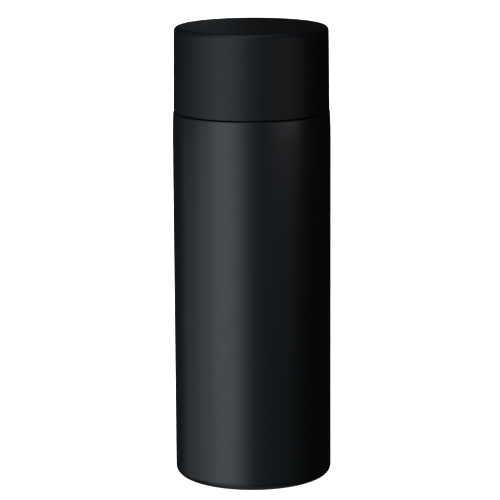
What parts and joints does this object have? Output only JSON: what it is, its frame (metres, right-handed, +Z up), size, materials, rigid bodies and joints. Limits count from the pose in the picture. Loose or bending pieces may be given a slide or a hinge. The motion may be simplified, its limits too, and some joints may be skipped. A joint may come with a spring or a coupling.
{
  "type": "vacuum flask",
  "caption": "Slim double-walled steel vacuum flask with a tall flush screw lid, an insulated plug and a screw-on drinking mouthpiece.",
  "frame": {"origin": "centre of the foot pad's underside, on the surface the flask stands on", "axes": "+Z up along the flask's axis, from the foot to the lid"},
  "size_m": [0.066, 0.066, 0.191],
  "materials": {
    "powder_coat": "satin",
    "steel": "satin",
    "seal_glass": "gloss",
    "getter_metal": "matte",
    "copper": "satin",
    "dark_silicone": "matte",
    "clear_silicone": "satin",
    "mouthpiece_plastic": "satin",
    "lid_plastic": "matte",
    "liner_plastic": "satin",
    "adhesive_film": "matte",
    "foam": "matte"
  },
  "bodies": {
    "vessel": {"outer_shell": "powder_coat", "inner_flask": "steel", "inner_flask_bottom": "steel", "vacuum_base": "steel", "vacuum_seal_bead": "seal_glass", "getter_pellet": "getter_metal", "getter_clip": "steel", "copper_foil": "copper", "copper_foil_disc": "copper", "base_cover": "steel", "foot_pad": "dark_silicone", "foot_pad_adhesive": "adhesive_film"},
    "mouthpiece_seal": {"mouthpiece_gasket": "clear_silicone"},
    "mouthpiece": {"mouthpiece": "mouthpiece_plastic"},
    "plug_seal": {"plug_gasket": "clear_silicone"},
    "lid": {"lid_cover": "lid_plastic", "lid_liner": "liner_plastic", "plug_insulation": "foam", "plug_well_cap": "liner_plastic", "lid_insulation": "foam"}
  },
  "joints": [
    {"name": "mouthpiece_lift", "type": "slide", "parent": "vessel", "child": "mouthpiece_seal", "axis": [0, 0, 1], "range_m": [0, 0.015]},
    {"name": "mouthpiece_turn", "type": "hinge", "parent": "mouthpiece_seal", "child": "mouthpiece", "pos_m": [0, 0, 0.159], "axis": [0, 0, 1], "range_deg": [0, 450]},
    {"name": "lid_lift", "type": "slide", "parent": "mouthpiece", "child": "plug_seal", "axis": [0, 0, 1], "range_m": [0, 0.024]},
    {"name": "lid_turn", "type": "hinge", "parent": "plug_seal", "child": "lid", "pos_m": [0, 0, 0.1559], "axis": [0, 0, 1], "range_deg": [0, 720]}
  ],
  "couplings": [
    {"joint": "mouthpiece_lift", "follows": "mouthpiece_turn", "m_per_rad": 0.0019098},
    {"joint": "lid_lift", "follows": "lid_turn", "m_per_rad": 0.0019098}
  ]
}
